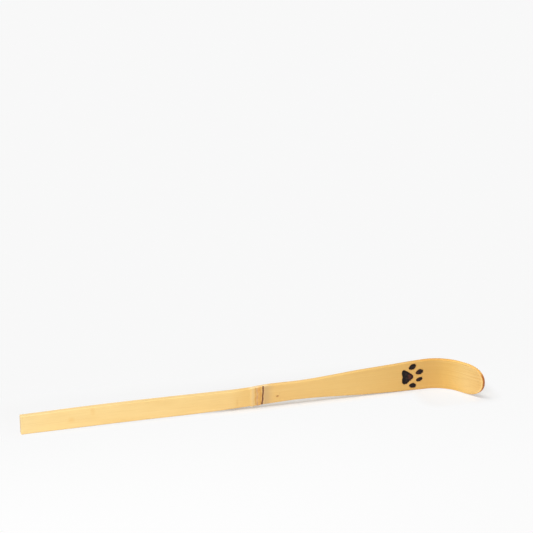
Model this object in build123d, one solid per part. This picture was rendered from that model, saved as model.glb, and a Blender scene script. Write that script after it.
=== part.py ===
from build123d import *
from math import cos, radians, sin
import os

# Chashaku: a scoop for powdered tea, carved from one strip of bamboo and bent at the tip.
# It stands on its lower long edge: +X runs from the butt end to the scoop, -Y is the
# skin side that carries the tea, +Z runs across the strip. All sizes are in millimetres.

# Lengths along the strip, from the butt end to the tip
grip_run = 45.0          # butt end to the widest place of the handle
pinch_run = 30.0         # widest place to the slim place in front of the node
ridge_run = 9.7          # slim place to the start of the node's ridge
ridge_length = 5.0       # the swollen band of the node
waist_run = 13.3         # end of the ridge to the waist behind the node
flare_run = 25.0         # waist to the middle of the flare
shoulder_run = 16.0      # middle of the flare to its shoulder
blade_run = 11.7         # shoulder to the start of the bend
bend_radius = 12.3       # radius of the bend on the skin side
bend_angle = 59.3        # how far the scoop turns towards -Y, in degrees
tail_length = 11.5       # straight run from the bend to the tip

# Widths of the strip
butt_width = 6.95
grip_width = 7.30
pinch_width = 7.00
neck_width = 6.95        # at the start of the node's ridge
collar_width = 7.35      # at the sheath scar
waist_width = 7.15
flare_width = 9.90
shoulder_width = 11.30
scoop_width = 12.00
tip_round = 9.1          # length of the elliptical rounding at the tip

# How far the lower edge lies above the floor
pinch_lift = 0.62
neck_lift = 0.98
collar_lift = 1.08
waist_lift = 1.52
flare_lift = 0.55
shoulder_lift = 0.12

# Thicknesses and edge shapes
handle_thickness = 2.45
waist_thickness = 1.85
flare_thickness = 1.60
scoop_thickness = 1.50
skin_edge = 0.25         # rounding of the long edges on the skin side
back_edge = 0.35         # rounding of the long edges on the carved back
butt_edge = 0.15         # broken edge around the butt end

# Node of the culm
ridge_height = 0.28      # supranodal ridge over the skin
furrow_height = 0.10     # floor of the furrow behind it
collar_height = 0.18     # lower collar beside the sheath scar
ridge_step = 0.06        # step at both ends of the swelling
ridge_back = 0.55        # where the swelling ends on the edges, in front of the back
ridge_shares = (0.28, 0.52, 0.75)  # ridge, furrow and collar along the swelling
scar_gap = 0.15          # foot of the collar to the sheath scar
scar_width = 0.40
scar_depth = 0.35
bud_run = 5.85           # bud scar behind the sheath scar
bud_height = 3.75
bud_length = 1.25
bud_width = 0.75
scar_sunk = 0.05         # surface of both scars under the skin

# Burnt mark: a generic paw print with a pad and four toes
mark_back = 7.7          # centre of the pad in front of the bend's start
mark_drop = 0.30         # centre of the pad under the middle line of the blade
pad_lobe = 1.30          # radius of the two rear lobes
pad_spread = 1.60        # half the distance between the rear lobes
pad_nose = 1.25          # radius of the front lobe
pad_rear = 1.00          # rear lobes behind the pad's centre
pad_front = 1.10         # front lobe before the pad's centre
pad_notch = 1.80         # radius of the hollow between the rear lobes
pad_hollow = 0.20        # depth of that hollow
toe_length = 2.80
toe_width = 2.15
outer_run = 2.00         # outer toes before the pad's centre
outer_spread = 3.75      # outer toes to the middle line
outer_splay = 12.0       # turn of the outer toes, in degrees
inner_run = 4.80
inner_spread = 1.55
inner_splay = 5.0
inner_scale = 0.94       # inner toes against the outer ones
burn_sunk = 0.12         # surface of the char under the skin
char_depth = 0.28        # thickness of the char layer

# Places along the strip that follow from the lengths
pinch_at = grip_run + pinch_run
ridge_at = pinch_at + ridge_run
ridge_end = ridge_at + ridge_length
scar_at = ridge_end + scar_gap + scar_width / 2
waist_at = ridge_end + waist_run
flare_at = waist_at + flare_run
shoulder_at = flare_at + shoulder_run
bend_at = shoulder_at + blade_run
node_thickness = (handle_thickness + waist_thickness) / 2
turn = radians(bend_angle)
along = Vector(cos(turn), -sin(turn))
across = Vector(sin(turn), cos(turn))
reach = bend_at + 2 * bend_radius + 2 * tail_length


# Side view of the strip: a straight skin and a round bend, over a carved back
bend_end = Vector(bend_at, -bend_radius) + across * bend_radius
bend_mid = Vector(bend_at + bend_radius * sin(turn / 2), bend_radius * (cos(turn / 2) - 1))
back_radius = bend_radius + scoop_thickness
back_mid = Vector(bend_at + back_radius * sin(turn / 2), back_radius * cos(turn / 2) - bend_radius)
blade_back = [
    (bend_at, scoop_thickness),
    (flare_at, flare_thickness),
    (waist_at, waist_thickness),
    (ridge_at, node_thickness),
    (pinch_at, handle_thickness),
]
side = make_face(
    [
        Line((0, 0), (bend_at, 0)),
        ThreePointArc((bend_at, 0), bend_mid, bend_end),
        Line(bend_end, bend_end + across * scoop_thickness),
        ThreePointArc(bend_end + across * scoop_thickness, back_mid, (bend_at, scoop_thickness)),
        Spline(blade_back, tangents=[(-1, 0), (-1, 0)]),
        Line((pinch_at, handle_thickness), (0, handle_thickness)),
        Line((0, handle_thickness), (0, 0)),
    ]
)

# Front view of the strip: handle, node, flare and blade
grip_lift = pinch_lift * grip_run / pinch_at
grip_start = (butt_width + 2 * grip_width) / 3
low_points = [
    (0, 0),
    (grip_run, grip_lift),
    (pinch_at, pinch_lift),
    (ridge_at, neck_lift),
    (ridge_end, collar_lift),
    (waist_at, waist_lift),
    (flare_at, flare_lift),
    (shoulder_at, shoulder_lift),
    (bend_at, 0),
]
high_points = [
    (bend_at, scoop_width),
    (shoulder_at, shoulder_lift + shoulder_width),
    (flare_at, flare_lift + flare_width),
    (waist_at, waist_lift + waist_width),
    (ridge_end, collar_lift + collar_width),
    (ridge_at, neck_lift + neck_width),
    (pinch_at, pinch_lift + pinch_width),
    (grip_run, grip_lift + grip_width),
    (grip_run / 3, grip_lift / 3 + grip_start),
    (0, butt_width),
]
front = make_face(
    [
        Spline(low_points, tangents=[(pinch_at, pinch_lift), (1, 0)]),
        Line((bend_at, 0), (reach, 0)),
        Line((reach, 0), (reach, scoop_width)),
        Line((reach, scoop_width), (bend_at, scoop_width)),
        Spline(high_points, tangents=[(-1, 0), (-grip_run, butt_width - grip_width - grip_lift)]),
        Line((0, butt_width), (0, 0)),
    ]
)
body = Pos(0, 0, -ridge_height) * extrude(side, scoop_width + 2 * ridge_height)
window = extrude(Plane.XZ.offset(-reach) * front, 2 * reach)
strip = body & window

# The tail goes straight on from the bend and ends in half an ellipse
tail_plane = Plane(origin=(bend_end.X, bend_end.Y, scoop_width / 2), x_dir=along, z_dir=-across)
half = scoop_width / 2
tail_side = tail_length - tip_round
tail = make_face(
    [
        Line((0, -half), (tail_side, -half)),
        EllipticalCenterArc((tail_side, 0), tip_round, half, -90, arc_size=180),
        Line((tail_side, half), (0, half)),
        Line((0, half), (0, -half)),
    ]
)
strip += extrude(tail_plane * tail, -scoop_thickness)


def leaving(solid, place, at_back):
    """The edges that leave a place along the strip, on the skin side or at the back."""
    boxes = [(e, e.bounding_box()) for e in solid.edges()]
    found = [e for e, b in boxes if b.min.X < place + butt_edge < b.max.X]
    return [e for e in found if (e.center().Y > scoop_thickness / 2) == at_back]


# The long edges are rounded, each chain running on around the tip, and the butt end is broken
strip = fillet(leaving(strip, 0, False), skin_edge)
strip = fillet(leaving(strip, 0, True), back_edge)
strip = fillet(strip.faces().sort_by(Axis.X)[0].edges(), butt_edge)


def swelling(first, last, out):
    """Points of the node's ridge, furrow and collar over a line from first to last, towards out."""
    heights = (ridge_step, ridge_height, furrow_height, collar_height, ridge_step)
    shares = (0, *ridge_shares, 1)
    rise = last - first
    return [(ridge_at + s * ridge_length, first + s * rise + out * h) for s, h in zip(shares, heights)]


# The node swells the skin and the two edges of the strip
node_back = node_thickness - ridge_back
skin_wave = swelling(0, 0, -1)
low_wave = swelling(neck_lift, collar_lift, -1)
high_wave = swelling(neck_lift + neck_width, collar_lift + collar_width, 1)
band_side = make_face(
    [
        Spline(skin_wave, tangents=[(1, 0), (1, 0)]),
        Polyline(skin_wave[-1], (ridge_end, node_back), (ridge_at, node_back), skin_wave[0]),
    ]
)
band_front = make_face(
    [
        Spline(low_wave, tangents=[(1, 0), (1, 0)]),
        Line(low_wave[-1], high_wave[-1]),
        Spline(high_wave, tangents=[(1, 0), (1, 0)]),
        Line(high_wave[0], low_wave[0]),
    ]
)
band = extrude(band_side, scoop_width) & extrude(Plane.XZ.offset(-reach) * band_front, 2 * reach)
band = fillet(leaving(band, ridge_at, False), skin_edge)
strip += band

# The middle of the underside of the strip's box is the origin
box = strip.bounding_box()
home = Pos(-box.center().X, -box.center().Y, 0)


def column(outline, start, depth):
    """The outline, drawn on the skin, drawn out into the strip from one depth to the next."""
    return extrude(Plane.XZ.offset(-start) * outline, -depth)


def inlay(outline, sunk, depth):
    """A piece seated in a pocket of the skin, and the strip with that pocket."""
    piece = column(outline, sunk, depth) & strip
    return piece, strip - column(outline, -scoop_thickness, scoop_thickness + sunk + depth)


pieces = {}

# Sheath scar at the foot of the collar, and the bud scar behind it
scar_outline = Pos(scar_at, scoop_width / 2) * Rectangle(scar_width, 2 * scoop_width)
pieces["sheath_scar"], strip = inlay(scar_outline, scar_sunk, scar_depth)
bud_outline = Pos(scar_at + bud_run, bud_height) * Ellipse(bud_length / 2, bud_width / 2)
pieces["bud_scar"], strip = inlay(bud_outline, scar_sunk, scar_depth)

# Burnt paw print on the blade
mark = Pos(bend_at - mark_back, scoop_width / 2 - mark_drop)
lobes = [
    Pos(-pad_rear, pad_spread) * Circle(pad_lobe),
    Pos(-pad_rear, -pad_spread) * Circle(pad_lobe),
    Pos(pad_front, 0) * Rot(0, 0, 180) * Circle(pad_nose),
]
pad = make_hull([edge for lobe in lobes for edge in lobe.edges()])
pad -= Pos(pad_hollow - pad_rear - pad_lobe - pad_notch, 0) * Circle(pad_notch)
pieces["burnt_pad"], strip = inlay(mark * pad, burn_sunk, char_depth)
toe_places = (
    (outer_run, outer_spread, outer_splay, 1.0),
    (inner_run, inner_spread, inner_splay, inner_scale),
    (inner_run, -inner_spread, -inner_splay, inner_scale),
    (outer_run, -outer_spread, -outer_splay, 1.0),
)
for number, (run, spread, splay, scale) in enumerate(toe_places, 1):
    toe = Pos(run, spread) * Rot(0, 0, splay) * Ellipse(toe_length * scale / 2, toe_width * scale / 2)
    pieces[f"burnt_toe_{number}"], strip = inlay(mark * toe, burn_sunk, char_depth)

pieces["bamboo_strip"] = strip
os.makedirs("parts", exist_ok=True)
for name, piece in pieces.items():
    export_step(home * piece, f"parts/{name}.step")
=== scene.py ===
import math

import bpy
import numpy as np
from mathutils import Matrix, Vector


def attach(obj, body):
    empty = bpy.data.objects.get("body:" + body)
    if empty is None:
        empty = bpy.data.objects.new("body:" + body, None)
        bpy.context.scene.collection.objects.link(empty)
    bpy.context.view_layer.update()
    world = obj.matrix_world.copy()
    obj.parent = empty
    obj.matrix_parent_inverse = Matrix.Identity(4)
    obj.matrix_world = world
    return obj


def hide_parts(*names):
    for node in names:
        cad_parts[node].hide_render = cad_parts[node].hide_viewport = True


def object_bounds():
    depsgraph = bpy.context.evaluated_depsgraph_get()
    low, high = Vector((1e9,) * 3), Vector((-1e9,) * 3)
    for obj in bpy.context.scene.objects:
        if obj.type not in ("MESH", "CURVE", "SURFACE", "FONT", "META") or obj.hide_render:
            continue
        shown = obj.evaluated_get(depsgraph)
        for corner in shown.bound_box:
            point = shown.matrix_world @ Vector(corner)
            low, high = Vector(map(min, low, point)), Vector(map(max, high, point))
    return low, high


# A bamboo tea scoop, dressed around its CAD frame. The strip is described in strip coordinates, in
# millimetres: s runs along the skin from the butt end, w across the strip from the floor up, and d
# from the skin to the back. roll() turns them into the row frame, in metres.

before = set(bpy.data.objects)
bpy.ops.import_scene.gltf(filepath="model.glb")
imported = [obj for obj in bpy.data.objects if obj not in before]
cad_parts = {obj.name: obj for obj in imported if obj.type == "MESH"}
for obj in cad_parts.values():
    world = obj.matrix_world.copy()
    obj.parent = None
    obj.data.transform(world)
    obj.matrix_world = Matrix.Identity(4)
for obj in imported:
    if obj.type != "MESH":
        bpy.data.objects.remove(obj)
cad_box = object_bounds()

MM = 0.001
TINY = 1e-6
FAR_AWAY = 9.0               # a gap too wide to matter
WELD_SIZE = 0.0002           # points nearer than this are one

# The path of the skin: straight, then a round bend, then a straight tail with a rounded tip
BEND_AT = 155.7
BEND_RADIUS = 12.3
BEND_ANGLE = math.radians(59.3)
BEND_RUN = BEND_RADIUS * BEND_ANGLE
TAIL_LENGTH = 11.5
TIP_ROUND = 9.1
CAP_AT = BEND_AT + BEND_RUN + TAIL_LENGTH - TIP_ROUND
HANDLE_DEPTH = 2.45
BUTT_X = cad_box[0].x / MM
SKIN_Y = cad_box[1].y / MM - HANDLE_DEPTH

# Edges and surface of the strip
SKIN_EDGE = 0.25
BLADE_EDGE = 0.50            # the skin's softer edge between the node and the tip
BLADE_EDGE_IN = (84, 96)     # where along the strip it comes in
BLADE_EDGE_OUT = (171, 178)  # and where it goes out again
BACK_EDGE = 0.35
BUTT_EDGE = 0.15
CROWN = 0.10                 # the skin's natural roundness across the handle
CROWN_FADE = (110, 165)      # where along the blade it runs out
HAND_WAVE = 0.018            # unevenness left by the knife
HAND_WAVE_IN = (0.3, 3)      # where it sets in behind the butt end
SKIN_WAVE = 0.5              # share of it on the skin
WAVES = (
    (0.19, 0.0, 1.7, 1.0),
    (0.47, -0.6, 2.3, 1.0),
    (0.083, 0.9, 0.7, 1.0),
    (1.13, 1.3, 3.1, 0.6),
)                            # rates along and across the strip, step with the seed, weight

# Node of the culm
NODE_AT = 84.7
NODE_LENGTH = 5.0
NODE_SHARES = (0.0, 0.28, 0.52, 0.75, 1.0)
NODE_HEIGHTS = (0.0, 0.27, 0.10, 0.18, 0.0)
NODE_WRAP = (0.25, 0.85)     # shares of the depth between which the swelling runs out on the edges
BACK_HOLLOW = 0.16           # shallow hollow in the back at the node
BACK_HOLLOW_HALF = 4.0
SCAR_AT = 90.13
SCAR_WIDTH = 0.52
SCAR_DEPTH = 0.30
SCAR_GROOVE = 0.52           # half width of its groove, as a share of its width
SCAR_WANDER = 0.04
SCAR_WAVE = (2.1, 1.0)       # rate and start of the wander
SCAR_BOW = 0.05              # the scar bows towards the scoop, most at this height
SCAR_BOW_AT = 8.6
SCAR_BOW_HALF = 2.4
THREAD_SIDES = 10            # the corky thread in the groove
THREAD_STEPS = 70
THREAD_INSET = 0.06          # its ends inside the edges of the strip
THREAD_DEPTH = 0.17          # its middle under the skin
THREAD_HALF = (0.12, 0.03)   # its half thickness, and how much more at its knots
THREAD_WIDE = (0.85, 0.30)   # its width against the scar's, and how much more at its knots
KNOT_LEVEL = 0.5
KNOT_WAVES = ((0.3, 5.3, 0.0), (0.2, 11.7, 1.0))  # size, rate and start
BUD_AT = (95.78, 3.90)
BUD_SIZE = (0.62, 0.38)      # half length and half width
BUD_STEPS = 48
BUD_POCKET = 0.15            # depth of its pocket
BUD_WALL = (-1.15, -0.8)     # where the pocket's wall begins and ends, in shares of the size inwards
BUD_FLOOR = 0.35
BUD_DOME = 0.05              # how far its rim lies under the skin
BUD_DENT = 0.04              # depth of the dent in its middle, and the dent's share of its size
BUD_DENT_SHARE = 0.3

# Burnt paw print
MARK_AT = (147.85, 5.70)
PAD_LOBES = ((-1.52, 2.07, 0.90), (-1.00, -1.68, 1.18), (1.24, 0.0, 1.06))  # place and radius
PAD_MIDDLE = -1.0            # gap given to what lies between the lobes
PAD_NOTCH = 1.80
PAD_NOTCH_AT = -3.92
TOES = (
    (1.80, 3.95, 28.0, 1.52, 1.04, 0.10),
    (4.70, 1.62, 16.0, 1.48, 1.00, 0.22),
    (4.75, -1.42, 16.0, 1.32, 0.78, 0.10),
    (2.15, -3.62, -5.0, 1.34, 0.95, 0.04),
)                            # place from the pad, splay in degrees, half length, half width, fuller far end
TOE_SPAN = 1.2               # a toe grows fuller only within this share of its half length
OUTLINE_STEPS = 96           # points around a pad or toe
OUTLINE_MOST = 4.0           # no outline lies further from its centre
OUTLINE_HALVINGS = 30
BURN_WAVES = ((0.035, 3.1, 1.3), (0.03, -4.7, 2.3))  # uneven outline: size, rates along and across
BURN_SUNK = 0.12
CHAR_DEPTH = 0.28
POCKET_DEPTH = 0.30
POCKET_WALL = (-0.02, 0.10)  # where the pocket's wall begins and ends inside the outline
BURN_LIP = 0.02              # height of the lip raised around the burn
BURN_LIP_AT = 0.12           # its distance from the outline, and its half width
CRUST = 0.022                # unevenness of the char
CRUST_RIM = 0.03             # rise of the char towards its outline
CRUST_WAVES = (
    (1.0, (4.1, 1.9), (-1.1, 3.7)),
    (0.5, (9.0, 0.0), (0.0, 8.0)),
)                            # weight, and the rates along and across of two crossed waves
PLUG_RINGS = 12              # rings of points in the flat top of a plug
PLUG_TOP = 0.96              # share of the outline that the flat top fills
PLUG_SHARES = (1.0, 1.0, 0.9, 0.0)   # the rings over the rim and across the floor
PLUG_DEPTHS = (0.05, 1.0, 1.0, 1.0)  # and how deep they lie


def colour(red, green, blue):
    """A linear colour from its 0 to 255 screen values."""
    parts = [v / 255 for v in (red, green, blue)]
    return [v / 12.92 if v <= 0.04045 else ((v + 0.055) / 1.055) ** 2.4 for v in parts] + [1.0]


def grey(level):
    """A linear grey."""
    return [level] * 3 + [1.0]


def roll(s, w, d):
    """Points in the row frame, in metres, of strip coordinates in millimetres."""
    turn = np.clip((s - BEND_AT) / BEND_RADIUS, 0, BEND_ANGLE)
    before = np.minimum(s, BEND_AT)
    after = np.maximum(s - BEND_AT - BEND_RUN, 0)
    x = before + (BEND_RADIUS + d) * np.sin(turn) + after * np.cos(turn)
    y = (BEND_RADIUS + d) * np.cos(turn) - BEND_RADIUS - after * np.sin(turn)
    return np.stack([BUTT_X + x, SKIN_Y + y, w], axis=-1) * MM


def ease(value, start, end):
    """0 before start and 1 after end, smooth between them."""
    t = np.clip((value - start) / (end - start), 0, 1)
    return t * t * (3 - 2 * t)


def edge_round(s):
    """Radius of the skin's long edges."""
    softer = (BLADE_EDGE - SKIN_EDGE) * ease(s, *BLADE_EDGE_IN) * (1 - ease(s, *BLADE_EDGE_OUT))
    return SKIN_EDGE + softer


def ripple(s, w, seed):
    """A calm uneven wave over the strip, between about -1 and 1."""
    waves = [weight * np.sin(along * s + across * w + step * seed) for along, across, step, weight in WAVES]
    return sum(waves) / sum(wave[-1] for wave in WAVES)


def curve_through(places, values, level_start=False, level_end=False):
    """A smooth function through the points, held at its end values outside them."""
    places, values = np.asarray(places, float), np.asarray(values, float)
    slopes = np.gradient(values, places)
    slopes[0] *= not level_start
    slopes[-1] *= not level_end

    def at(x):
        x = np.clip(np.asarray(x, float), places[0], places[-1])
        i = np.clip(np.searchsorted(places, x) - 1, 0, len(places) - 2)
        run = places[i + 1] - places[i]
        t = (x - places[i]) / run
        first = values[i] * (1 + 2 * t) * (1 - t) ** 2 + slopes[i] * run * t * (1 - t) ** 2
        return first + values[i + 1] * t * t * (3 - 2 * t) - slopes[i + 1] * run * t * t * (1 - t)

    return at


def cad_section(s):
    """Lowest and highest place and greatest depth of the CAD strip where a plane at s cuts it."""
    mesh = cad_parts["bamboo_strip"].data
    points = np.array([v.co for v in mesh.vertices]) / MM - (BUTT_X, SKIN_Y, 0)
    ends = points[np.array([e.vertices for e in mesh.edges])]
    ends = ends[(ends[:, 0, 0] - s) * (ends[:, 1, 0] - s) < 0]
    share = (s - ends[:, 0, 0]) / (ends[:, 1, 0] - ends[:, 0, 0])
    cut = ends[:, 0] + share[:, None] * (ends[:, 1] - ends[:, 0])
    return cut[:, 2].min(), cut[:, 2].max(), cut[:, 1].max()


# The outline and the back of the strip, read from the frame on both sides of the node
SECTION_RUNS = ((0.5, 84.0, 15), (91.5, 155.5, 12))  # start, end and number of the sections
sections_at = np.concatenate([np.linspace(*run) for run in SECTION_RUNS])
sections = np.array([cad_section(s) for s in sections_at])
low_edge = curve_through(sections_at, sections[:, 0], level_end=True)
high_edge = curve_through(sections_at, sections[:, 1], level_end=True)
back_depth = curve_through(sections_at, sections[:, 2], level_end=True)
scoop_width = float(high_edge(BEND_AT) - low_edge(BEND_AT))
node_places = [NODE_AT + share * NODE_LENGTH for share in NODE_SHARES]
node_swell = curve_through(node_places, NODE_HEIGHTS, level_start=True, level_end=True)


def pad_gap(s, w):
    """Distance outside the outline of the paw's pad, negative inside it."""
    x, y = s - MARK_AT[0], w - MARK_AT[1]
    gap = np.full(np.shape(x), np.inf)
    inside = np.full(np.shape(x), True)
    for (ax, ay, ar), (bx, by, br) in zip(PAD_LOBES, PAD_LOBES[1:] + PAD_LOBES[:1]):
        ux, uy = bx - ax, by - ay
        t = np.clip(((x - ax) * ux + (y - ay) * uy) / (ux * ux + uy * uy), 0, 1)
        gap = np.minimum(gap, np.hypot(x - ax - t * ux, y - ay - t * uy) - ar - t * (br - ar))
        inside = inside & (ux * (y - ay) > uy * (x - ax))
    hull = np.where(inside, PAD_MIDDLE, gap)
    notch = PAD_NOTCH - np.hypot(x - PAD_NOTCH_AT, y)
    return np.maximum(hull, notch)


def toe_centre(toe):
    """Where the middle of a toe lies."""
    return MARK_AT[0] + toe[0], MARK_AT[1] + toe[1]


def toe_gap(s, w, toe):
    """Distance outside the outline of one toe, negative inside it."""
    splay, half_length, half_width, fuller = toe[2:]
    centre, angle = toe_centre(toe), math.radians(splay)
    x, y = s - centre[0], w - centre[1]
    along = (x * math.cos(angle) + y * math.sin(angle)) / half_length
    up = (y * math.cos(angle) - x * math.sin(angle)) / half_width
    up = up / (1 + fuller * np.clip(along, -TOE_SPAN, TOE_SPAN))
    size = np.hypot(along, up)
    steep = np.hypot(along / half_length, up / half_width)
    return size * (size - 1) / np.maximum(steep, TINY)


def burn_gap(s, w):
    """Distance outside the whole burnt figure, with the slight unevenness of a hand-held iron."""
    gap = pad_gap(s, w)
    for toe in TOES:
        gap = np.minimum(gap, toe_gap(s, w, toe))
    for size, along, across in BURN_WAVES:
        gap = gap + size * np.sin(along * s + across * w)
    return gap


def scar_line(w):
    """Where the sheath scar runs, a little uneven from edge to edge."""
    bow = SCAR_BOW * (1 - ((w - SCAR_BOW_AT) / SCAR_BOW_HALF) ** 2)
    return SCAR_AT + bow + SCAR_WANDER * np.sin(SCAR_WAVE[0] * w + SCAR_WAVE[1])


def weld(points, faces, **values):
    """Points that coincide made one, faces without repeated corners, and the values of each point."""
    keys = np.round(points / (WELD_SIZE * MM)).astype(np.int64)
    first, index = np.unique(keys, axis=0, return_index=True, return_inverse=True)[1:]
    index = index.reshape(-1)
    kept = []
    for face in faces:
        corners = [int(c) for c in index[list(face)]]
        loop = [c for n, c in enumerate(corners) if c != corners[n - 1]]
        if len(loop) > 2:
            kept.append(loop)
    return points[first], kept, {name: v[first] for name, v in values.items()}


def make_piece(name, points, faces, material, slot, nodes, **values):
    """A smooth mesh piece that stands for CAD nodes, with named values on its points."""
    points, faces, values = weld(points, faces, **values)
    mesh = bpy.data.meshes.new(name)
    mesh.from_pydata(points.tolist(), [], faces)
    for key, data in values.items():
        kind, field = ("FLOAT_VECTOR", "vector") if data.ndim == 2 else ("FLOAT", "value")
        layer = mesh.attributes.new(key, kind, "POINT")
        layer.data.foreach_set(field, data.astype(np.float32).ravel())
    mesh.polygons.foreach_set("use_smooth", [True] * len(mesh.polygons))
    mesh.materials.append(material)
    mesh.update()
    piece = bpy.data.objects.new(name, mesh)
    bpy.context.scene.collection.objects.link(piece)
    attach(piece, "root")
    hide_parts(*nodes)


def grid_faces(rows, columns, flip=False):
    """Quads of a grid of points, row by row."""
    faces = []
    for i in range(rows - 1):
        for j in range(columns - 1):
            a = i * columns + j
            face = (a, a + 1, a + columns + 1, a + columns)
            faces.append(face[::-1] if flip else face)
    return faces


# The strip
STRIP_RUNS = (
    (0.0, 0.15, 0.05),
    (0.15, 1.0, 0.17),
    (1.0, 80.0, 1.0),
    (80.0, 84.5, 0.3),
    (84.5, 92.0, 0.125),
    (92.0, 98.0, 0.2),
    (98.0, 143.6, 0.8),
    (143.6, 156.0, 0.115),
    (156.0, CAP_AT, 0.3),
)                            # start, end and step of the cross-sections
SKIN_COLUMNS = 46            # from the middle line to the edge
ARC_STEPS = 5
SIDE_STEPS = 4
BACK_COLUMNS = 12
CAP_STEPS = 56
CAP_REACH = 8.90             # the rounded tip, a little shorter and squarer than the frame's
CAP_POWER = 2.22
END_LOW = (0.6, 2.6)         # where the brown end grain of the tip begins and ends across the strip
END_HIGH = (7.2, 11.2)
END_FADE = 0.06              # share of the depth over which it fades at the skin and the back
TIP_HIGHLIGHT_SPAN = (0.90, 0.98)       # share of the way to the edge where the tip's painted highlight, a pale rim, begins
BUTT_GRAIN = 0.34            # the paler end grain of the butt end
BUTT_SIDE = 0.5              # its face counts as half way to the back
BUTT_RINGS = (0.94, 0.86)    # sizes of the rings of points in its face


def strip_places():
    """The places of all cross-sections, closer together where the skin has detail."""
    runs = [np.linspace(a, b, round((b - a) / step), endpoint=False) for a, b, step in STRIP_RUNS]
    return np.concatenate([*runs, [CAP_AT]])


def strip_rim():
    """The rim around the strip, from the butt end along the lower edge, round the tip and back, with
    the middle that each of its points faces and the direction inwards."""
    s = strip_places()
    low, high = low_edge(s), high_edge(s)
    middle = (low + high) / 2
    turn = np.linspace(-math.pi / 2, math.pi / 2, CAP_STEPS + 1)[1:-1]
    half = scoop_width / 2
    cap_s = CAP_REACH * np.cos(turn) ** (2 / CAP_POWER)
    cap_w = half * np.sign(turn) * np.abs(np.sin(turn)) ** (2 / CAP_POWER)
    rim_s = np.concatenate([s, CAP_AT + cap_s, s[::-1]])
    rim_w = np.concatenate([low, half + cap_w, high[::-1]])
    mid_s = np.concatenate([s, np.full(len(turn), CAP_AT), s[::-1]])
    mid_w = np.concatenate([middle, np.full(len(turn), half), middle[::-1]])
    step_s, step_w = np.gradient(rim_s), np.gradient(rim_w)
    length = np.hypot(step_s, step_w)
    return rim_s, rim_w, mid_s, mid_w, -step_w / length, step_s / length


def strip_profile():
    """The section from the middle of the skin over the edge to the middle of the back: the share of
    the way from the middle to the rim, the inset, the depth in two parts and the facing angle."""
    rows = [(r, 1, 0, 0, 0) for r in np.linspace(0, 1, SKIN_COLUMNS, endpoint=False)]
    for angle in np.linspace(0, math.pi / 2, ARC_STEPS + 1):
        rows.append((1, 1 - math.sin(angle), 0, 1 - math.cos(angle), angle))
    rows += [(1, 0, t, 1, math.pi / 2) for t in np.linspace(0, 1, SIDE_STEPS + 2)[1:-1]]
    for angle in np.linspace(0, math.pi / 2, ARC_STEPS + 1):
        rows.append((1, 1 - math.cos(angle), 1, 1 - math.sin(angle), math.pi / 2 + angle))
    rows += [(r, 1, 1, 0, math.pi) for r in np.linspace(1, 0, BACK_COLUMNS)[1:]]
    return np.array(rows)


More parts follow.
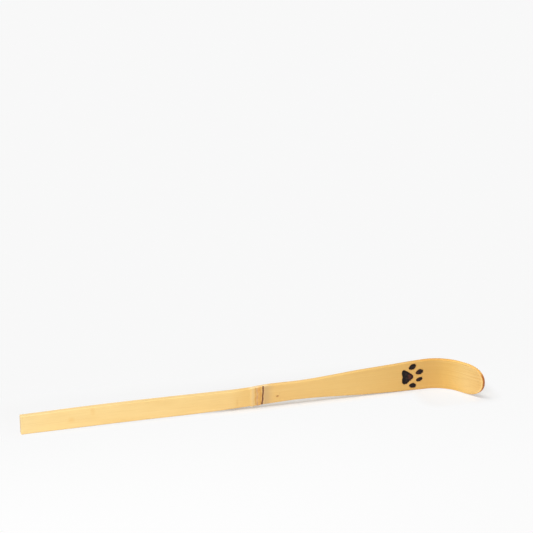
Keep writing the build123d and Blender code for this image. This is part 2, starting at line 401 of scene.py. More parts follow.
def build_strip(material):
    """The bamboo strip with its node, its pockets for the burnt figure and its rounded edges."""
    rim_s, rim_w, mid_s, mid_w, in_s, in_w = (v[:, None] for v in strip_rim())
    reach, inset, far, near, facing = (v[None, :] for v in strip_profile().T)
    skin = facing < TINY
    on_back = facing > math.pi / 2 + TINY
    skin_edge = edge_round(rim_s)
    edge = np.where(on_back, BACK_EDGE, skin_edge)
    thick = back_depth(rim_s)
    butt = BUTT_EDGE - np.minimum(rim_s, BUTT_EDGE)
    butt = BUTT_EDGE - np.sqrt(BUTT_EDGE ** 2 - butt ** 2)
    s = mid_s + reach * (rim_s + in_s * (inset * edge + butt) - mid_s)
    w = mid_w + reach * (rim_w + in_w * (inset * edge + butt) - mid_w)
    front = skin_edge * near + far * (thick - skin_edge - BACK_EDGE)
    d = np.where(on_back, thick - BACK_EDGE * near, front)
    share = d / thick
    d = d + butt * np.cos(facing)

    around = 1 - ease(share, *NODE_WRAP)
    gap = burn_gap(s, w)
    proud = node_swell(s) * around
    wave = HAND_WAVE * np.where(skin, SKIN_WAVE, 1) * (ripple(s, w, facing) - 1)
    proud = proud + wave * ease(s, *HAND_WAVE_IN)
    proud = proud + np.where(skin, CROWN * (1 - reach ** 2) * (1 - ease(s, *CROWN_FADE)), 0)
    lip = BURN_LIP * np.exp(-((gap - BURN_LIP_AT) / BURN_LIP_AT) ** 2)
    proud = proud - np.where(skin, POCKET_DEPTH * ease(-gap, *POCKET_WALL) - lip, 0)
    groove = np.exp(-((s - scar_line(w)) / (SCAR_GROOVE * SCAR_WIDTH)) ** 4)
    proud = proud - SCAR_DEPTH * groove * around
    bud = np.hypot((s - BUD_AT[0]) / BUD_SIZE[0], (w - BUD_AT[1]) / BUD_SIZE[1])
    proud = proud - np.where(skin, BUD_POCKET * ease(-bud, *BUD_WALL), 0)
    hollow = np.exp(-((s - NODE_AT - NODE_LENGTH / 2) / BACK_HOLLOW_HALF) ** 2) * (1 - reach ** 2)
    proud = proud - np.where(on_back, BACK_HOLLOW * hollow, 0)

    aside = proud * np.sin(facing)
    points = roll(s - in_s * aside, w - in_w * aside, d - proud * np.cos(facing))
    rows, columns = s.shape
    points, faces = close_butt(points.reshape(-1, 3), grid_faces(rows, columns), rows, columns)
    extra = len(points) - rows * columns

    def with_butt(values, fill):
        """The values of the strip's points, then one value for the points in the butt end's face."""
        return np.concatenate([np.broadcast_to(values, s.shape).reshape(-1), np.full(extra, fill)])

    tip = np.where(rim_s > CAP_AT, ease(rim_w, *END_LOW) * (1 - ease(rim_w, *END_HIGH)), 0)
    place = np.stack([s, w, np.broadcast_to(share * thick, s.shape)], -1).reshape(-1, 3)
    face = points[-extra:] / MM
    butt_place = np.column_stack([np.zeros(extra), face[:, 2], face[:, 1] - SKIN_Y])
    make_piece(
        "bamboo_blade",
        points,
        faces,
        material,
        "bamboo",
        ["bamboo_strip"],
        strip=np.concatenate([place, butt_place]),
        side=with_butt(share, BUTT_SIDE),
        height=with_butt(w - low_edge(s), FAR_AWAY),
        scar_gap=with_butt(s - scar_line(w), -FAR_AWAY),
        # rim: the tip's painted highlight along the skin's edge
        rim=with_butt(tip * np.where(skin, ease(reach, *TIP_HIGHLIGHT_SPAN), 0), 0.0),
        scorch=with_butt(np.where(skin, gap, FAR_AWAY), FAR_AWAY),
        end_grain=with_butt(tip * ease(share, 0, END_FADE) * (1 - ease(share, 1 - END_FADE, 1)), BUTT_GRAIN),
    )


def close_butt(points, faces, rows, columns):
    """Adds the cut face of the butt end inside the strip's open loop there."""
    loop = [*range(columns), *range(rows * columns - 1, (rows - 1) * columns - 1, -1)]
    rim = points[loop]
    middle = rim.mean(0)
    ring = loop
    for size in BUTT_RINGS:
        start = len(points)
        points = np.concatenate([points, middle + (rim - middle) * size])
        new = list(range(start, start + len(loop)))
        for n in range(len(loop)):
            faces.append((ring[n - 1], new[n - 1], new[n], ring[n]))
        ring = new
    faces.append(tuple(ring[::-1]))
    return points, faces


# The scars and the burnt figure
def build_sheath_scar(material):
    """A corky thread in the groove of the sheath scar, from edge to edge."""
    across = np.linspace(0, 1, THREAD_STEPS)[:, None]
    around = np.linspace(0, 2 * math.pi, THREAD_SIDES + 1)[None, :]
    low, high = low_edge(SCAR_AT), high_edge(SCAR_AT)
    w = low + THREAD_INSET + across * (high - low - 2 * THREAD_INSET)
    edge = edge_round(SCAR_AT)
    inward = edge - np.clip(np.minimum(w - low, high - w), 0, edge)
    rounding = edge - np.sqrt(edge ** 2 - inward ** 2)
    knots = KNOT_LEVEL + sum(size * np.sin(rate * w + start) for size, rate, start in KNOT_WAVES)
    half = SCAR_WIDTH / 2 * (THREAD_WIDE[0] + THREAD_WIDE[1] * knots)
    s = scar_line(w) + half * np.cos(around)
    d = THREAD_DEPTH + rounding - (THREAD_HALF[0] + THREAD_HALF[1] * knots) * np.sin(around)
    w = np.broadcast_to(w, s.shape)
    last = (THREAD_STEPS - 1) * (THREAD_SIDES + 1)
    faces = grid_faces(THREAD_STEPS, THREAD_SIDES + 1, flip=True)
    faces.append(tuple(range(THREAD_SIDES)))
    faces.append(tuple(range(last + THREAD_SIDES - 1, last - 1, -1)))
    points = roll(s, w, d).reshape(-1, 3)
    place = np.stack([s, w, d], -1).reshape(-1, 3)
    make_piece("sheath_scar_cork", points, faces, material, "scar", ["sheath_scar"], strip=place)


def build_plug(name, centre, outline, top, bottom, material, slot, node):
    """A flat closed plug in the skin: rings from the middle to the outline, a rounded rim and a floor."""
    angles = np.linspace(0, 2 * math.pi, len(outline), endpoint=False)
    shares = [*np.linspace(0, PLUG_TOP, PLUG_RINGS), *PLUG_SHARES]
    share = np.array(shares)[:, None]
    depth = np.array([0.0] * PLUG_RINGS + [*PLUG_DEPTHS])[:, None]
    s = centre[0] + share * outline * np.cos(angles)
    w = centre[1] + share * outline * np.sin(angles)
    d = top(s, w, share) * (1 - depth) + bottom * depth
    rows, columns = s.shape
    closed = [np.concatenate([v, v[:, :1]], 1) for v in (s, w, np.broadcast_to(d, s.shape))]
    faces = grid_faces(rows, columns + 1, flip=True)
    points = roll(*closed).reshape(-1, 3)
    place = np.stack(closed, -1).reshape(-1, 3)
    edge = np.repeat(shares, columns + 1)
    make_piece(name, points, faces, material, slot, [node], strip=place, edge=edge)


def outline_of(gap, centre):
    """The distance from a centre to where gap is zero, all the way round."""
    angles = np.linspace(0, 2 * math.pi, OUTLINE_STEPS, endpoint=False)
    inner, outer = np.zeros(OUTLINE_STEPS), np.full(OUTLINE_STEPS, OUTLINE_MOST)
    for _ in range(OUTLINE_HALVINGS):
        half = (inner + outer) / 2
        out = gap(centre[0] + half * np.cos(angles), centre[1] + half * np.sin(angles)) > 0
        inner, outer = np.where(out, inner, half), np.where(out, half, outer)
    return inner


def char_top(s, w, share):
    """Depth of the uneven, cracked surface of the char."""
    crust = 0.0
    for weight, first, second in CRUST_WAVES:
        crossed = np.sin(first[0] * s + first[1] * w) * np.sin(second[0] * s + second[1] * w)
        crust = crust + weight * crossed
    return BURN_SUNK + CRUST * crust - CRUST_RIM * share ** 4


def bud_top(_s, _w, share):
    """Depth of a low dome with a dent in the middle."""
    return BUD_DOME * share ** 2 + BUD_DENT * np.exp(-(share / BUD_DENT_SHARE) ** 2)


def build_marks(burnt, corky):
    """The plugs of the burnt figure and of the bud scar."""
    floor_depth = BURN_SUNK + CHAR_DEPTH
    pad = outline_of(pad_gap, MARK_AT)
    build_plug("burnt_pad_char", MARK_AT, pad, char_top, floor_depth, burnt, "char", "burnt_pad")
    for number, toe in enumerate(TOES, 1):
        centre = toe_centre(toe)
        shape = outline_of(lambda s, w: toe_gap(s, w, toe), centre)
        node = f"burnt_toe_{number}"
        build_plug(f"{node}_char", centre, shape, char_top, floor_depth, burnt, "char", node)
    angles = np.linspace(0, 2 * math.pi, BUD_STEPS, endpoint=False)
    bud = BUD_SIZE[0] * BUD_SIZE[1] / np.hypot(BUD_SIZE[1] * np.cos(angles), BUD_SIZE[0] * np.sin(angles))
    build_plug("bud_scar_knot", BUD_AT, bud, bud_top, BUD_FLOOR, corky, "scar", "bud_scar")


class Shader:
    """A node material, with short calls that add a node and return its first output."""

    def __init__(self, name):
        self.material = bpy.data.materials.new(name)
        self.material.use_nodes = True
        self.tree = self.material.node_tree
        self.surface = self.tree.nodes["Principled BSDF"]

    def put(self, socket, value):
        """Sets an input, or joins it to an output."""
        if isinstance(value, bpy.types.NodeSocket):
            self.tree.links.new(value, socket)
        else:
            socket.default_value = value

    def add(self, kind, inputs=(), output=0, **settings):
        node = self.tree.nodes.new(kind)
        for key, value in settings.items():
            setattr(node, key, value)
        for key, value in dict(inputs).items():
            self.put(node.inputs[key], value)
        return node.outputs[output]

    def value(self, name, output="Fac"):
        return self.add("ShaderNodeAttribute", output=output, attribute_name=name)

    def parts(self, vector):
        """All three outputs: the numbers of a vector."""
        node = self.tree.nodes.new("ShaderNodeSeparateXYZ")
        self.put(node.inputs[0], vector)
        return node.outputs

    def math(self, operation, first, second=0.0):
        return self.add("ShaderNodeMath", {0: first, 1: second}, operation=operation)

    def noise(self, vector, detail, rough, scale=1.0):
        inputs = {"Vector": vector, "Scale": scale, "Detail": detail, "Roughness": rough}
        return self.add("ShaderNodeTexNoise", inputs)

    def grain(self, vector, cells, detail, rough):
        """A noise with its own number of cells per millimetre along, across and into the strip."""
        stretched = self.add("ShaderNodeVectorMath", {0: vector, 1: cells}, operation="MULTIPLY")
        return self.noise(stretched, detail, rough)

    def range(self, value, start, end, low=0.0, high=1.0):
        """Low at the start and high at the end, smooth between them."""
        inputs = {"Value": value, "From Min": start, "From Max": end, "To Min": low, "To Max": high}
        return self.add("ShaderNodeMapRange", inputs, interpolation_type="SMOOTHSTEP")

    def band(self, value, middle, half, soft):
        """1 within half of the middle, fading to 0 over the soft margin."""
        away = self.math("ABSOLUTE", self.math("SUBTRACT", value, middle))
        return self.range(away, half, half + soft, 1.0, 0.0)

    def mix(self, share, first, second, blend="MIX"):
        """A blend of two colours. Its sockets go by number, because their names repeat."""
        node = self.tree.nodes.new("ShaderNodeMix")
        node.data_type = "RGBA"
        node.blend_type = blend
        for socket, value in zip((node.inputs[0], node.inputs[6], node.inputs[7]), (share, first, second)):
            self.put(socket, value)
        return node.outputs[2]

    def ramp(self, value, stops):
        node = self.tree.nodes.new("ShaderNodeValToRGB")
        self.put(node.inputs[0], value)
        points = node.color_ramp.elements
        for point, (place, shade) in zip((points[0], points[1]), (stops[0], stops[-1])):
            point.position, point.color = place, shade
        for place, shade in stops[1:-1]:
            points.new(place).color = shade
        return node.outputs[0]

    def set(self, **inputs):
        """Sets inputs of the surface, named with underscores for spaces."""
        for key, value in inputs.items():
            self.put(self.surface.inputs[key.replace("_", " ")], value)

    def bump(self, height, strength, distance):
        inputs = {"Height": height, "Strength": strength, "Distance": distance}
        self.put(self.surface.inputs["Normal"], self.add("ShaderNodeBump", inputs))


# Colours of the bamboo. Runs and places are in millimetres along the strip, rises across it.
STRIP_LENGTH = 180.0
ALONG_STOPS = (
    (0.00, colour(253, 223, 158)),
    (0.08, colour(252, 219, 150)),
    (0.43, colour(249, 212, 140)),
    (0.46, colour(242, 200, 124)),
    (0.54, colour(239, 196, 121)),
    (0.67, colour(238, 197, 121)),
    (0.78, colour(230, 186, 108)),
    # painted shade: these darker stops where the bend begins
    (0.87, colour(220, 173, 94)),
    (0.89, colour(219, 173, 92)),
    (0.91, colour(226, 181, 97)),
    (0.94, colour(237, 198, 121)),
    (0.955, colour(240, 202, 129)),
    (0.975, colour(237, 196, 122)),
    (1.00, colour(236, 190, 115)),
)                            # the skin's colour along the strip, paler in the handle, toast-brown at the bend, with painted shade where the bend begins
NOISE_SPAN = (0.3, 0.7)      # nearly all values of a noise lie in here
GRAINS = (
    ((0.035, 2.4, 2.4), 4.0, 0.6),
    ((0.16, 8.0, 8.0), 2.0, 0.5),
    ((0.045, 0.22, 0.3), 2.0, 0.5),
    ((0.8, 6.0, 6.0), 2.0, 0.6),
)                            # fibres, threads, clouds and flecks, each like all grains: cells per
                             # millimetre along, across and in depth, then detail and roughness
SKIN_SIDE = (0.0, 0.08)      # shares of the depth over which the skin ends and the back begins
BACK_SIDE = (0.92, 1.0)
FIBRES_RUN = (156.0, 172.0)  # from here the fibres show more
FIBRES_SHOWN = (0.15, 0.56)
CUT_SHARE = 0.7              # strength of the carved back's own colours
CUT_THREADS = (0.42, 0.66, 0.0, 0.5)  # noise values and strengths of its dark threads
CUT_PALE = colour(247, 216, 155)
CUT_DARK = colour(219, 170, 98)
RIM_FRONT = (0.0, 0.06)      # shares of the depth over which the narrow edges begin and end
RIM_BACK = (0.85, 1.0)
EDGE_SHADE_RUN = (70.0, 84.0)      # the painted shade on the handle's narrow edges ends here
EDGE_SHADE_SHARE = 0.2
EDGE_SHADE_COLOUR = colour(236, 204, 140)
NODE_HIGHLIGHT_BAND = (88.6, 2.6, 2.0)  # middle, half length and margin of the painted highlight on the edges at the node
NODE_HIGHLIGHT_SHARE = 0.85
NODE_HIGHLIGHT_COLOUR = colour(255, 224, 168)
TOAST_AND_HIGHLIGHT_RUN = (146.0, 156.0)   # the toast-brown, more orange edges of the bend, partly a painted highlight, begin here
TOAST_AND_HIGHLIGHT_TINT = (1.10, 0.98, 0.80, 1.0)
FOOT_SHADE_RUN = (157.0, 167.0)    # painted shade on the scoop's lower part (its foot) begins here
FOOT_SHADE_RISE = (2.6, 0.4)
FOOT_SHADE_TINT = (0.93, 0.91, 0.82, 1.0)
BRIM_SHADE_RUN = (88.0, 78.0)      # the warm painted shade along the handle's lower edge ends here
BRIM_SHADE_BAND = (152.0, 10.0, 8.0)  # and shows again under the end of the blade
BRIM_SHADE_RISE = (0.50, 0.10)
BRIM_SHADE_TINT = (0.92, 0.85, 0.74, 1.0)
SCORCHES = (
    (0.75, 0.0, 0.28, colour(190, 120, 52)),
    (0.16, -0.08, 0.92, colour(62, 38, 26)),
)                            # halo and margin of the burn: gap where it begins and is full, strength, colour
SCORCH_WANDER = 0.12
SCORCH_GRAIN = ((1.6, 1.6, 1.6), 3.0, 0.6)
NODE_WANDER = 0.22
NODE_WANDER_GRAIN = ((0.15, 0.42, 0.42), 5.0, 0.55)
NODE_PATCH_GRAIN = ((0.9, 0.8, 0.8), 3.0, 0.6)
NODE_STREAK_GRAIN = ((0.5, 5.0, 5.0), 3.0, 0.6)
NODE_FRONT = (0.03, 0.16)    # shares of the depth over which the node's colours weaken, and to what
NODE_EDGES = 0.15
NODE_PATCHES = (0.36, 0.58, 0.55, 1.0)  # noise values and strengths of the patches in them
NODE_BANDS = (
    (86.05, 0.25, 0.6, 0.50, colour(232, 200, 148)),
    (87.20, 0.10, 0.28, 0.75, colour(205, 140, 62)),
    (87.75, 0.12, 0.32, 0.68, colour(188, 138, 112)),
    (88.75, 0.45, 0.55, 0.80, colour(222, 158, 78)),
    (89.45, 0.10, 0.25, 0.30, colour(236, 178, 90)),
    (0.0, 0.20, 0.26, 0.80, colour(120, 74, 60)),
)                            # middle (0 for the scar's own line), half width, soft margin, strength, colour
BLOOM_FROM = (0.1, 0.4)      # the grey bloom behind the scar: its gap to the scar,
BLOOM_RUN = (90.5, 95.2)     # where it fades
BLOOM_SHARE = 0.69           # and its strength
BLOOM = colour(206, 170, 122)
BACK_RING = (87.6, 0.3, 3.6)  # middle, half width and soft margin of the node's ring on the back
BACK_RING_SHARES = (0.25, 0.75)
BACK_RING_SHADE = colour(200, 150, 92)
CROSS_MARK = colour(236, 176, 84)
FLECK = colour(190, 128, 56)
FAINT_MARKS = (
    (26.0, 6.2, 1.2, 2.6, 0.20, CROSS_MARK),
    (18.2, 3.6, 1.6, 1.5, 0.24, CROSS_MARK),
    (80.1, 3.2, 0.7, 2.2, 0.22, colour(214, 154, 74)),
    (96.6, 5.0, 0.45, 0.16, 0.40, FLECK),
    (96.6, 2.6, 0.45, 0.16, 0.40, FLECK),
    (BUD_AT[0], BUD_AT[1], 1.1, 0.6, 0.30, FLECK),
)                            # place along and across, half length and half width, strength, colour
MARK_CORE = 0.1              # share of a mark that has its full strength
TIP_HIGHLIGHT_SHARE = 0.6              # strength of the tip's painted highlight, a pale rim
TIP_HIGHLIGHT_COLOUR = colour(253, 221, 146)
END_PALE = colour(206, 118, 42)
END_DARK = colour(158, 80, 24)
END_BUNDLE = colour(132, 64, 20)
END_DOT_GRAIN = ((3.0, 4.5, 4.5), 2.0, 0.6)
END_DOTS = (0.45, 0.65)      # noise values of the end grain's dark dots
END_BUNDLES = (0.45, 0.7, 0.0, 0.4)  # noise values and strengths of its fibre bundles
END_SHOWN = (0.15, 0.75)     # values of end_grain at which the end grain begins and is full
END_SHARE = 0.92
BAMBOO_ROUGH = (0.40, 0.52)
EDGE_ROUGH = (0.0, 0.3, 0.0, 0.12)  # shares of the depth, and how much rougher the edges and back are
RELIEF = (0.7, 0.5)          # weights of the fibres and the threads in the bamboo's fine relief


def bamboo():
    """Bamboo: long fibres, a ringed node, scorched rims, brown end grain and a paler cut back, with painted
    shade and painted highlights on its edges.
    """
    m = Shader("bamboo")
    strip = m.value("strip", "Vector")
    s, w, _ = m.parts(strip)
    side = m.value("side")
    skin = m.range(side, *SKIN_SIDE, 1.0, 0.0)
    back = m.range(side, *BACK_SIDE)

    fibre, thread, cloud, fleck = [m.grain(strip, *grain) for grain in GRAINS]
    shown = m.range(s, *FIBRES_RUN, *FIBRES_SHOWN)
    layers = (
        (cloud, 0.40, 0.70, 0.16, colour(228, 178, 98)),
        (fibre, 0.46, 0.74, shown, colour(214, 160, 82)),
        (fibre, 0.46, 0.26, shown, colour(255, 228, 170)),
        (thread, 0.55, 0.75, shown, colour(196, 142, 70)),
        (fleck, 0.66, 0.80, 0.28, colour(170, 112, 52)),
    )                        # noise, its values where the layer begins and is full, strength, colour
    base = m.ramp(m.math("DIVIDE", s, STRIP_LENGTH), ALONG_STOPS)
    for noise, begin, full, strength, shade in layers:
        base = m.mix(m.range(noise, begin, full, 0.0, strength), base, shade)
    cut = m.mix(m.range(thread, *CUT_THREADS), CUT_PALE, CUT_DARK)
    base = m.mix(m.math("MULTIPLY", back, CUT_SHARE), base, cut)
    base = rim_colours(m, base, s, w, side)
    base = node_colours(m, base, s, strip, side, back)
    base = faint_marks(m, base, s, w, skin)
    base = end_colours(m, base, strip, thread)
    base = scorch_colours(m, base, strip)

    rough = m.math("ADD", m.range(fibre, *NOISE_SPAN, *BAMBOO_ROUGH), m.range(side, *EDGE_ROUGH))
    height = m.math("ADD", m.math("MULTIPLY", fibre, RELIEF[0]), m.math("MULTIPLY", thread, RELIEF[1]))
    m.set(Base_Color=base, Roughness=rough, Specular_IOR_Level=0.35)
    m.bump(height, strength=0.35, distance=0.00006)
    return m.material


def rim_colours(m, base, s, w, side):
    """The narrow edges: painted shade along the handle, a painted highlight at the node, and toast-brown
    with a painted highlight at the bend; and painted shade on the scoop's foot and, warm, along the lower
    edge."""
    rim = m.math("MULTIPLY", m.range(side, *RIM_FRONT), m.range(side, *RIM_BACK, 1.0, 0.0))
    # painted shade: the handle's narrow edges a little darker than its skin
    dull = m.range(s, *EDGE_SHADE_RUN, EDGE_SHADE_SHARE, 0.0)
    base = m.mix(m.math("MULTIPLY", rim, dull), base, EDGE_SHADE_COLOUR)
    # painted highlight: the narrow edges paler where the node's ridge catches the light
    pale = m.math("MULTIPLY", m.band(s, *NODE_HIGHLIGHT_BAND), NODE_HIGHLIGHT_SHARE)
    base = m.mix(m.math("MULTIPLY", rim, pale), base, NODE_HIGHLIGHT_COLOUR)
    # more orange edges of the bend: toast-brown colour and partly a painted highlight
    toast_and_highlight = m.math("MULTIPLY", rim, m.range(s, *TOAST_AND_HIGHLIGHT_RUN))
    base = m.mix(toast_and_highlight, base, TOAST_AND_HIGHLIGHT_TINT, "MULTIPLY")
    # painted shade: the lower part of the scoop darker
    foot = m.math("MULTIPLY", m.range(s, *FOOT_SHADE_RUN), m.range(w, *FOOT_SHADE_RISE))
    base = m.mix(foot, base, FOOT_SHADE_TINT, "MULTIPLY")
    # painted shade, warm, along the skin's lower edge
    brim_shade = m.math("MAXIMUM", m.range(s, *BRIM_SHADE_RUN), m.band(s, *BRIM_SHADE_BAND))
    brim_shade = m.math("MULTIPLY", m.range(m.value("height"), *BRIM_SHADE_RISE), brim_shade)
    return m.mix(brim_shade, base, BRIM_SHADE_TINT, "MULTIPLY")


def node_colours(m, base, s, strip, side, back):
    """The pale foot, the brown line, the orange collar and the grey zone of the node."""
    wander = m.grain(strip, *NODE_WANDER_GRAIN)
    place = m.math("ADD", s, m.range(wander, *NOISE_SPAN, -NODE_WANDER, NODE_WANDER))
    patch = m.range(m.grain(strip, *NODE_PATCH_GRAIN), *NODE_PATCHES)
    front = m.range(side, *NODE_FRONT, 1.0, NODE_EDGES)
    scar_gap = m.value("scar_gap")
    for middle, half, soft, strength, shade in NODE_BANDS:
        across = place if middle else scar_gap
        amount = m.math("MULTIPLY", m.band(across, middle, half, soft), patch)
        base = m.mix(m.math("MULTIPLY", m.math("MULTIPLY", amount, strength), front), base, shade)
    fade = m.range(place, *BLOOM_RUN, BLOOM_SHARE, 0.0)
    bloom = m.math("MULTIPLY", m.range(scar_gap, *BLOOM_FROM), fade)
    base = m.mix(m.math("MULTIPLY", bloom, front), base, BLOOM)
    streaks = m.range(m.grain(strip, *NODE_STREAK_GRAIN), *NOISE_SPAN, *BACK_RING_SHARES)
    ring = m.math("MULTIPLY", m.band(place, *BACK_RING), streaks)
    return m.mix(m.math("MULTIPLY", ring, back), base, BACK_RING_SHADE)


def faint_marks(m, base, s, w, skin):
    """Small natural marks in the skin: soft cross lines, a spot and flecks by the bud scar."""
    margin = 1 - MARK_CORE
    for along, up, long, wide, strength, shade in FAINT_MARKS:
        lengthwise = m.band(s, along, MARK_CORE * long, margin * long)
        crosswise = m.band(w, up, MARK_CORE * wide, margin * wide)
        spot = m.math("MULTIPLY", m.math("MULTIPLY", lengthwise, crosswise), strength)
        base = m.mix(m.math("MULTIPLY", spot, skin), base, shade)
    return base


def end_colours(m, base, strip, thread):
    """The tip's painted highlight, a pale rim, and brown end grain with dark fibre bundles at the tip and
    the butt end.
    """
    dots = m.grain(strip, *END_DOT_GRAIN)
    grain = m.mix(m.range(dots, *END_DOTS), END_PALE, END_DARK)
    grain = m.mix(m.range(thread, *END_BUNDLES), grain, END_BUNDLE)
    # painted highlight along the tip's rim
    base = m.mix(m.math("MULTIPLY", m.value("rim"), TIP_HIGHLIGHT_SHARE), base, TIP_HIGHLIGHT_COLOUR)
    return m.mix(m.range(m.value("end_grain"), *END_SHOWN, 0.0, END_SHARE), base, grain)


def scorch_colours(m, base, strip):
    """The browned halo and the dark margin around the burnt figure."""
    halo = m.grain(strip, *SCORCH_GRAIN)
    gap = m.math("ADD", m.value("scorch"), m.range(halo, *NOISE_SPAN, -SCORCH_WANDER, SCORCH_WANDER))
    for begin, full, strength, shade in SCORCHES:
        base = m.mix(m.range(gap, begin, full, 0.0, strength), base, shade)
    return base


# Colours of the char and the scars
CHAR_STOPS = (
    (0.36, colour(16, 12, 12)),
    (0.50, colour(32, 25, 25)),
    (0.64, colour(62, 48, 44)),
)
CHAR_CRUST_GRAIN = ((1.3, 1.7, 1.5), 5.0, 0.65)
CHAR_FIBRE_GRAIN = ((0.5, 7.0, 7.0), 3.0, 0.6)
CHAR_FIBRE = colour(100, 70, 52)
CHAR_FIBRES = (0.56, 0.78, 0.0, 0.4)  # noise values and strengths of the fibres that show in the char
CHAR_RELIEF = 0.6            # weight of the fibres against the crust in the char's fine relief
CHAR_ROUGH = (0.72, 0.92)
CHAR_BROWN = colour(112, 58, 42)
CHAR_EDGE = colour(24, 17, 16)
CHAR_EDGES = (0.45, 0.85, 0.0, 0.85)  # shares of the way to the outline, and how much darker it grows
LIGHT_BURN_AT = (150.3, 5.9, 0.2)  # where the iron pressed lightest and the char is browner,
LIGHT_BURN = (1.0, 3.0)            # how far that reaches
LIGHT_BURN_SHARE = 0.65            # and its strength
CORK_STOPS = (
    (0.30, colour(92, 54, 46)),
    (0.50, colour(122, 76, 62)),
    (0.72, colour(156, 104, 76)),
)
CORK_GRAIN = ((4.0, 3.0, 4.0), 4.0, 0.6)
CORK_ROUGH = (0.65, 0.85)
CORK_LIGHT = colour(190, 136, 78)
CORK_RIM = colour(216, 168, 102)
CORK_RIM_FROM = (0.4, 0.97)  # shares of the way to the outline over which a lifted scar pales
BUD_LIFT = 0.90              # how much lighter the bud scar is than the sheath scar


def char():
    """Scorched wood: nearly black, browner where the iron was lighter, dull and crusty."""
    m = Shader("char")
    strip = m.value("strip", "Vector")
    crust = m.grain(strip, *CHAR_CRUST_GRAIN)
    fibre = m.grain(strip, *CHAR_FIBRE_GRAIN)
    base = m.ramp(crust, CHAR_STOPS)
    base = m.mix(m.range(fibre, *CHAR_FIBRES), base, CHAR_FIBRE)
    away = m.add("ShaderNodeVectorMath", {0: strip, 1: LIGHT_BURN_AT}, output="Value", operation="DISTANCE")
    base = m.mix(m.range(away, *LIGHT_BURN, LIGHT_BURN_SHARE, 0.0), base, CHAR_BROWN)
    base = m.mix(m.range(m.value("edge"), *CHAR_EDGES), base, CHAR_EDGE)
    height = m.math("ADD", crust, m.math("MULTIPLY", fibre, CHAR_RELIEF))
    m.set(Base_Color=base, Roughness=m.range(crust, *NOISE_SPAN, *CHAR_ROUGH), Specular_IOR_Level=0.2)
    m.bump(height, strength=0.7, distance=0.00012)
    return m.material


def scar(name, lift):
    """The dry, corky brown of the sheath scar and, lifted to a lighter tone, of the bud scar."""
    m = Shader(name)
    strip = m.value("strip", "Vector")
    cork = m.grain(strip, *CORK_GRAIN)
    base = m.mix(lift, m.ramp(cork, CORK_STOPS), CORK_LIGHT)
    base = m.mix(m.range(m.value("edge"), *CORK_RIM_FROM, 0.0, lift), base, CORK_RIM)
    m.set(Base_Color=base, Roughness=m.range(cork, *NOISE_SPAN, *CORK_ROUGH), Specular_IOR_Level=0.25)
    m.bump(cork, strength=0.6, distance=0.0001)
    return m.material


# Stage, light and camera, in metres
FLOOR_SIZE = 12.0
FLOOR_SHADE = 0.86
FLOOR_GRAIN = 0.004          # how much lighter and darker its paper is in places
FLOOR_PAPER = (3.0, 0.5, 4.0)  # detail, roughness and scale of the paper
FLOOR_NEAR = 0.003           # nearer than this to the strip the floor shows its own light and shadow,
FLOOR_FAR = 0.009            # and further off it is as even as the backdrop
FLOOR_BEHIND = 0.25          # share of the distance that counts behind the strip
FLOOR_FRONT = 0.0035         # how much less far that reaches in front of the strip
SHADOW_STOPS = (
    (-0.021, 0.14),
    (-0.008, 0.72),
    (0.058, 0.72),
    (0.068, 0.36),
    (0.078, 0.24),
    (0.083, 0.60),
)                            # places along the strip, and how much of its own light the floor shows there
SHADOW_REACH = 0.1           # the stops lie within this of the middle
SHADOW_BACK = (0.006, 0.028)  # how far behind the strip that becomes the same all along
SHADOW_AFAR = 0.35
GLOW_LIFT = 0.05             # a painted pool of light: how much paler the backdrop is in front of the butt end
GLOW_REACH = (0.06, -0.09)
GLOW_SIDE = (-0.10, 0.16)
GLOW_LEAST = 0.3             # share of that in front of the scoop
WORLD_LIGHT = 0.25
BACKDROP = 0.94
LAMPS = (
    ("overhead_box", (-0.20, -0.17, 1.80), (1.6, 0.5), 22.2),
    ("front_box", (-1.10, -1.35, 0.70), (1.2, 1.2), 17.7),
)                            # place, size and power
CAMERA_AT = (-58.35, -503.12, 215.43)  # from the butt end's lower skin corner, in millimetres
CAMERA_PITCH = 17.0
CAMERA_YAW = 16.578
CAMERA_FIELD = 20.0
CAMERA_NEAR = 0.01


def seen_directly(tree):
    """1 where the camera sees a surface, or sees it in a reflection or through glass."""
    path = tree.nodes.new("ShaderNodeLightPath")
    seen = path.outputs["Is Camera Ray"]
    for name in ("Is Glossy Ray", "Is Transmission Ray"):
        either = tree.nodes.new("ShaderNodeMath")
        either.operation = "MAXIMUM"
        tree.links.new(seen, either.inputs[0])
        tree.links.new(path.outputs[name], either.inputs[1])
        seen = either.outputs[0]
    return seen


def floor_distance(m, x, y):
    """How far a place on the floor lies from the strip, taken as a straight box and a box at its bend."""
    bend = (BUTT_X + BEND_AT) * MM
    low, high = cad_box
    behind = m.math("MULTIPLY", m.math("SUBTRACT", y, high.y), FLOOR_BEHIND)
    gaps = []
    for start, end, front in ((low.x, bend, SKIN_Y * MM), (bend, high.x, low.y)):
        aside = m.math("ABSOLUTE", m.math("SUBTRACT", x, (start + end) / 2))
        aside = m.math("SUBTRACT", aside, (end - start) / 2)
        before = m.math("SUBTRACT", front + FLOOR_FRONT, y)
        squares = 0.0
        for gap in (aside, m.math("MAXIMUM", before, behind)):
            outside = m.math("MAXIMUM", gap, 0.0)
            squares = m.math("ADD", m.math("MULTIPLY", outside, outside), squares)
        gaps.append(m.math("SQRT", squares))
    return m.math("MINIMUM", *gaps)


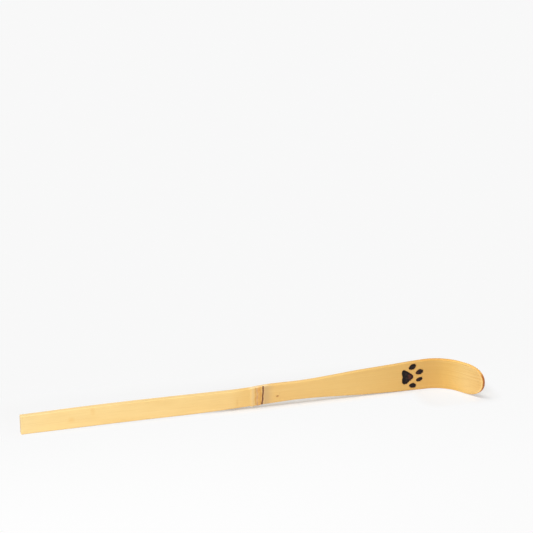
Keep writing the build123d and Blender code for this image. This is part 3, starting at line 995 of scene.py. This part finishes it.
def build_floor():
    """A pale floor with the strip's soft shadow, which blends into a backdrop that is even but for a painted
    pool of light in front of the butt end.
    """
    half = FLOOR_SIZE / 2
    mesh = bpy.data.meshes.new("floor")
    corners = [(-half, -half, 0), (half, -half, 0), (half, half, 0), (-half, half, 0)]
    mesh.from_pydata(corners, [], [(0, 1, 2, 3)])
    floor = bpy.data.objects.new("floor", mesh)
    bpy.context.scene.collection.objects.link(floor)
    m = Shader("floor")
    place = m.add("ShaderNodeTexCoord", output="Object")
    x, y, _ = m.parts(place)
    paper = m.noise(place, *FLOOR_PAPER)
    paper = m.mix(paper, grey(FLOOR_SHADE - FLOOR_GRAIN), grey(FLOOR_SHADE + FLOOR_GRAIN))
    m.set(Base_Color=paper, Roughness=0.9, Specular_IOR_Level=0.0)

    along = m.math("DIVIDE", m.math("ADD", x, SHADOW_REACH), 2 * SHADOW_REACH)
    stops = [((at + SHADOW_REACH) / (2 * SHADOW_REACH), grey(share)) for at, share in SHADOW_STOPS]
    behind = m.math("SUBTRACT", y, cad_box[1].y)
    share = m.mix(m.range(behind, *SHADOW_BACK), m.ramp(along, stops), grey(SHADOW_AFAR))
    least = m.math("SUBTRACT", 1.0, share)
    even = m.range(floor_distance(m, x, y), FLOOR_NEAR, FLOOR_FAR, least, 1.0)
    even = m.math("MULTIPLY", seen_directly(m.tree), even)
    # painted pool of light on the backdrop in front of the butt end
    lift = m.range(y, *GLOW_REACH, 0.0, GLOW_LIFT)
    lift = m.math("MULTIPLY", lift, m.range(x, *GLOW_SIDE, 1.0, GLOW_LEAST))
    glow = m.add("ShaderNodeEmission", {"Strength": m.math("ADD", lift, BACKDROP)})
    both = m.add("ShaderNodeMixShader", {0: even, 1: m.surface.outputs[0], 2: glow})
    m.put(m.tree.nodes["Material Output"].inputs["Surface"], both)
    mesh.materials.append(m.material)


def build_surround():
    """A white surround that lights the scene less than it shows."""
    world = bpy.data.worlds.new("surround")
    bpy.context.scene.world = world
    world.use_nodes = True
    tree = world.node_tree
    level = tree.nodes.new("ShaderNodeMapRange")
    tree.links.new(seen_directly(tree), level.inputs["Value"])
    level.inputs["To Min"].default_value = WORLD_LIGHT
    level.inputs["To Max"].default_value = BACKDROP
    sky = tree.nodes["Background"]
    sky.inputs["Color"].default_value = (1, 1, 1, 1)
    tree.links.new(level.outputs[0], sky.inputs["Strength"])


def build_lamps():
    """Soft lamps that face the middle of the scene."""
    for name, place, size, power in LAMPS:
        lamp = bpy.data.lights.new(name, "AREA")
        lamp.shape = "RECTANGLE"
        lamp.size, lamp.size_y = size
        lamp.energy = power
        holder = bpy.data.objects.new(name, lamp)
        holder.location = place
        aim = -holder.location
        holder.rotation_euler = aim.to_track_quat("-Z", "Y").to_euler()
        bpy.context.scene.collection.objects.link(holder)


def build_camera():
    """The camera that took the photo, fitted to the strip's outline in it."""
    lens = bpy.data.cameras.new("camera")
    lens.angle = math.radians(CAMERA_FIELD)
    lens.clip_start = CAMERA_NEAR
    camera = bpy.data.objects.new("camera", lens)
    start = (BUTT_X, SKIN_Y, 0)
    camera.location = [(a + b) * MM for a, b in zip(CAMERA_AT, start)]
    camera.rotation_euler = (math.radians(90 - CAMERA_PITCH), 0, math.radians(-CAMERA_YAW))
    bpy.context.scene.collection.objects.link(camera)
    bpy.context.scene.camera = camera
    bpy.context.scene.view_settings.view_transform = "Standard"


build_strip(bamboo())
build_sheath_scar(scar("sheath_scar", 0.0))
build_marks(char(), scar("bud_scar", BUD_LIFT))
build_floor()
build_surround()
build_lamps()
build_camera()
